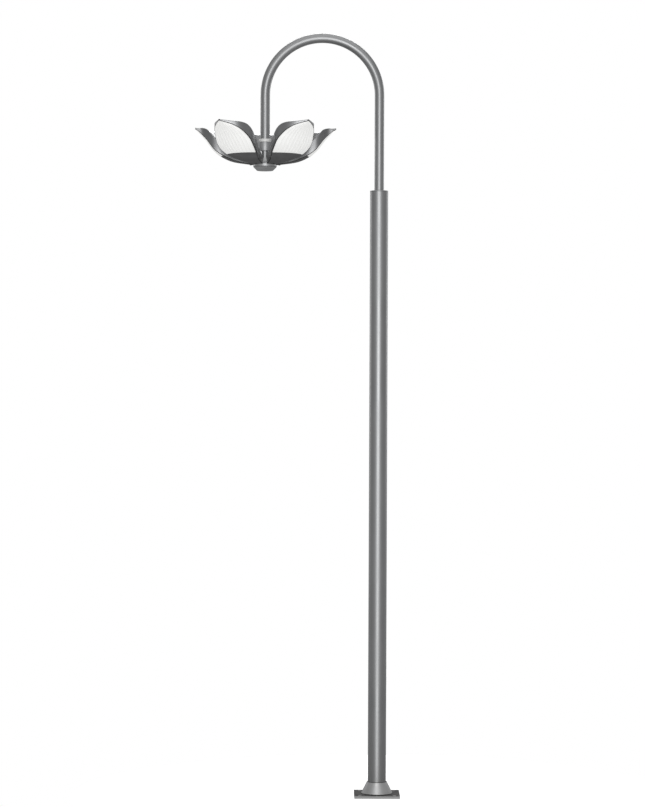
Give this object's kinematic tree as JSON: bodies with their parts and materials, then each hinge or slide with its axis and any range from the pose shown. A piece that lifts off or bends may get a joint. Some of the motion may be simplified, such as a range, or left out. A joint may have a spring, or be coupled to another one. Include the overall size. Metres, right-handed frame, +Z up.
{
  "type": "street lamp post",
  "caption": "Slim street lamp post: square base plate, straight pole, swivelling gooseneck arm and a hanging lotus-petal lantern, with a rear access door.",
  "frame": {"origin": "centre of the base plate's underside, on the pole's axis", "axes": "+Z up the pole, the arm points along -X, the access door faces +Y"},
  "size_m": [1.0899, 0.7055, 4],
  "materials": {
    "painted_steel": "satin silver-grey powder coat",
    "plate_steel": "satin grey paint",
    "turned_aluminium": "turned",
    "zinc_hardware": "zinc plated",
    "lock_body": "satin dark grey",
    "black_rubber": "matte",
    "laminate_board": "matte laminate",
    "grey_plastic": "matte",
    "ivory_plastic": "matte",
    "brass": "plain",
    "white_ring": "gloss",
    "cast_aluminium": "satin grey paint over cast aluminium",
    "board_white": "solder-mask white",
    "petal_metal": "satin grey paint over pressed aluminium",
    "opal_diffuser": "opal white acrylic",
    "root_grey": "matte grey"
  },
  "bodies": {
    "pole": {"base_plate": "plate_steel", "base_gussets": "plate_steel", "base_collar": "painted_steel", "pole_door_section": "painted_steel", "pole_tube": "painted_steel", "pole_cap": "painted_steel", "upper_guide_ring": "turned_aluminium", "lower_guide_ring": "turned_aluminium", "arm_set_screws": "zinc_hardware", "door_frame": "plate_steel", "door_gasket": "black_rubber", "hinge_fixed_leaf": "plate_steel", "hinge_pin": "zinc_hardware", "terminal_board": "laminate_board", "terminal_box": "grey_plastic", "terminal_lid": "grey_plastic", "terminal_blocks": "ivory_plastic", "fuse_carrier": "ivory_plastic", "cable_glands": "black_rubber", "supply_cable": "black_rubber", "riser_cable": "black_rubber", "earth_stud": "brass", "earth_nuts": "brass"},
    "door": {"door_panel": "painted_steel", "hinge_door_leaf": "plate_steel", "lock_housing": "lock_body"},
    "lock": {"lock_barrel": "zinc_hardware", "lock_cam": "zinc_hardware"},
    "arm": {"gooseneck_tube": "painted_steel", "arm_cable": "black_rubber"},
    "lantern": {"bearing_ring": "white_ring", "clamp_collar": "cast_aluminium", "collar_screws": "zinc_hardware", "lantern_stem": "painted_steel", "hollow_rod": "zinc_hardware", "rod_nuts": "zinc_hardware", "hub_body": "cast_aluminium", "hub_gasket": "black_rubber", "hub_cap": "cast_aluminium", "led_driver": "grey_plastic", "petal_brackets": "plate_steel", "petal_bolts": "zinc_hardware", "petal_nuts": "zinc_hardware", "petal_leads": "ivory_plastic", "led_boards": "board_white", "petal_pan_1": "petal_metal", "petal_pan_2": "petal_metal", "petal_pan_3": "petal_metal", "petal_pan_4": "petal_metal", "petal_pan_5": "petal_metal", "petal_diffuser_1": "opal_diffuser", "petal_diffuser_2": "opal_diffuser", "petal_diffuser_3": "opal_diffuser", "petal_diffuser_4": "opal_diffuser", "petal_diffuser_5": "opal_diffuser", "petal_root_1": "root_grey", "petal_root_2": "root_grey", "petal_root_3": "root_grey", "petal_root_4": "root_grey", "petal_root_5": "root_grey"}
  },
  "joints": [
    {"name": "arm_swivel", "type": "hinge", "parent": "pole", "child": "arm", "pos_m": [0, 0, 3.175], "axis": [0, 0, 1], "range_deg": [-180, 180]},
    {"name": "lantern_swivel", "type": "hinge", "parent": "arm", "child": "lantern", "pos_m": [-0.6, 0, 3.39], "axis": [0, 0, -1], "range_deg": [-180, 180]},
    {"name": "door_hinge", "type": "hinge", "parent": "pole", "child": "door", "pos_m": [0.03746, 0.0375, 0.64], "axis": [0, 0, -1], "range_deg": [0, 110]},
    {"name": "lock_turn", "type": "hinge", "parent": "door", "child": "lock", "pos_m": [-0.0159, 0.04156, 0.64], "axis": [-0.3573, 0.934, 0], "range_deg": [0, 90]}
  ]
}
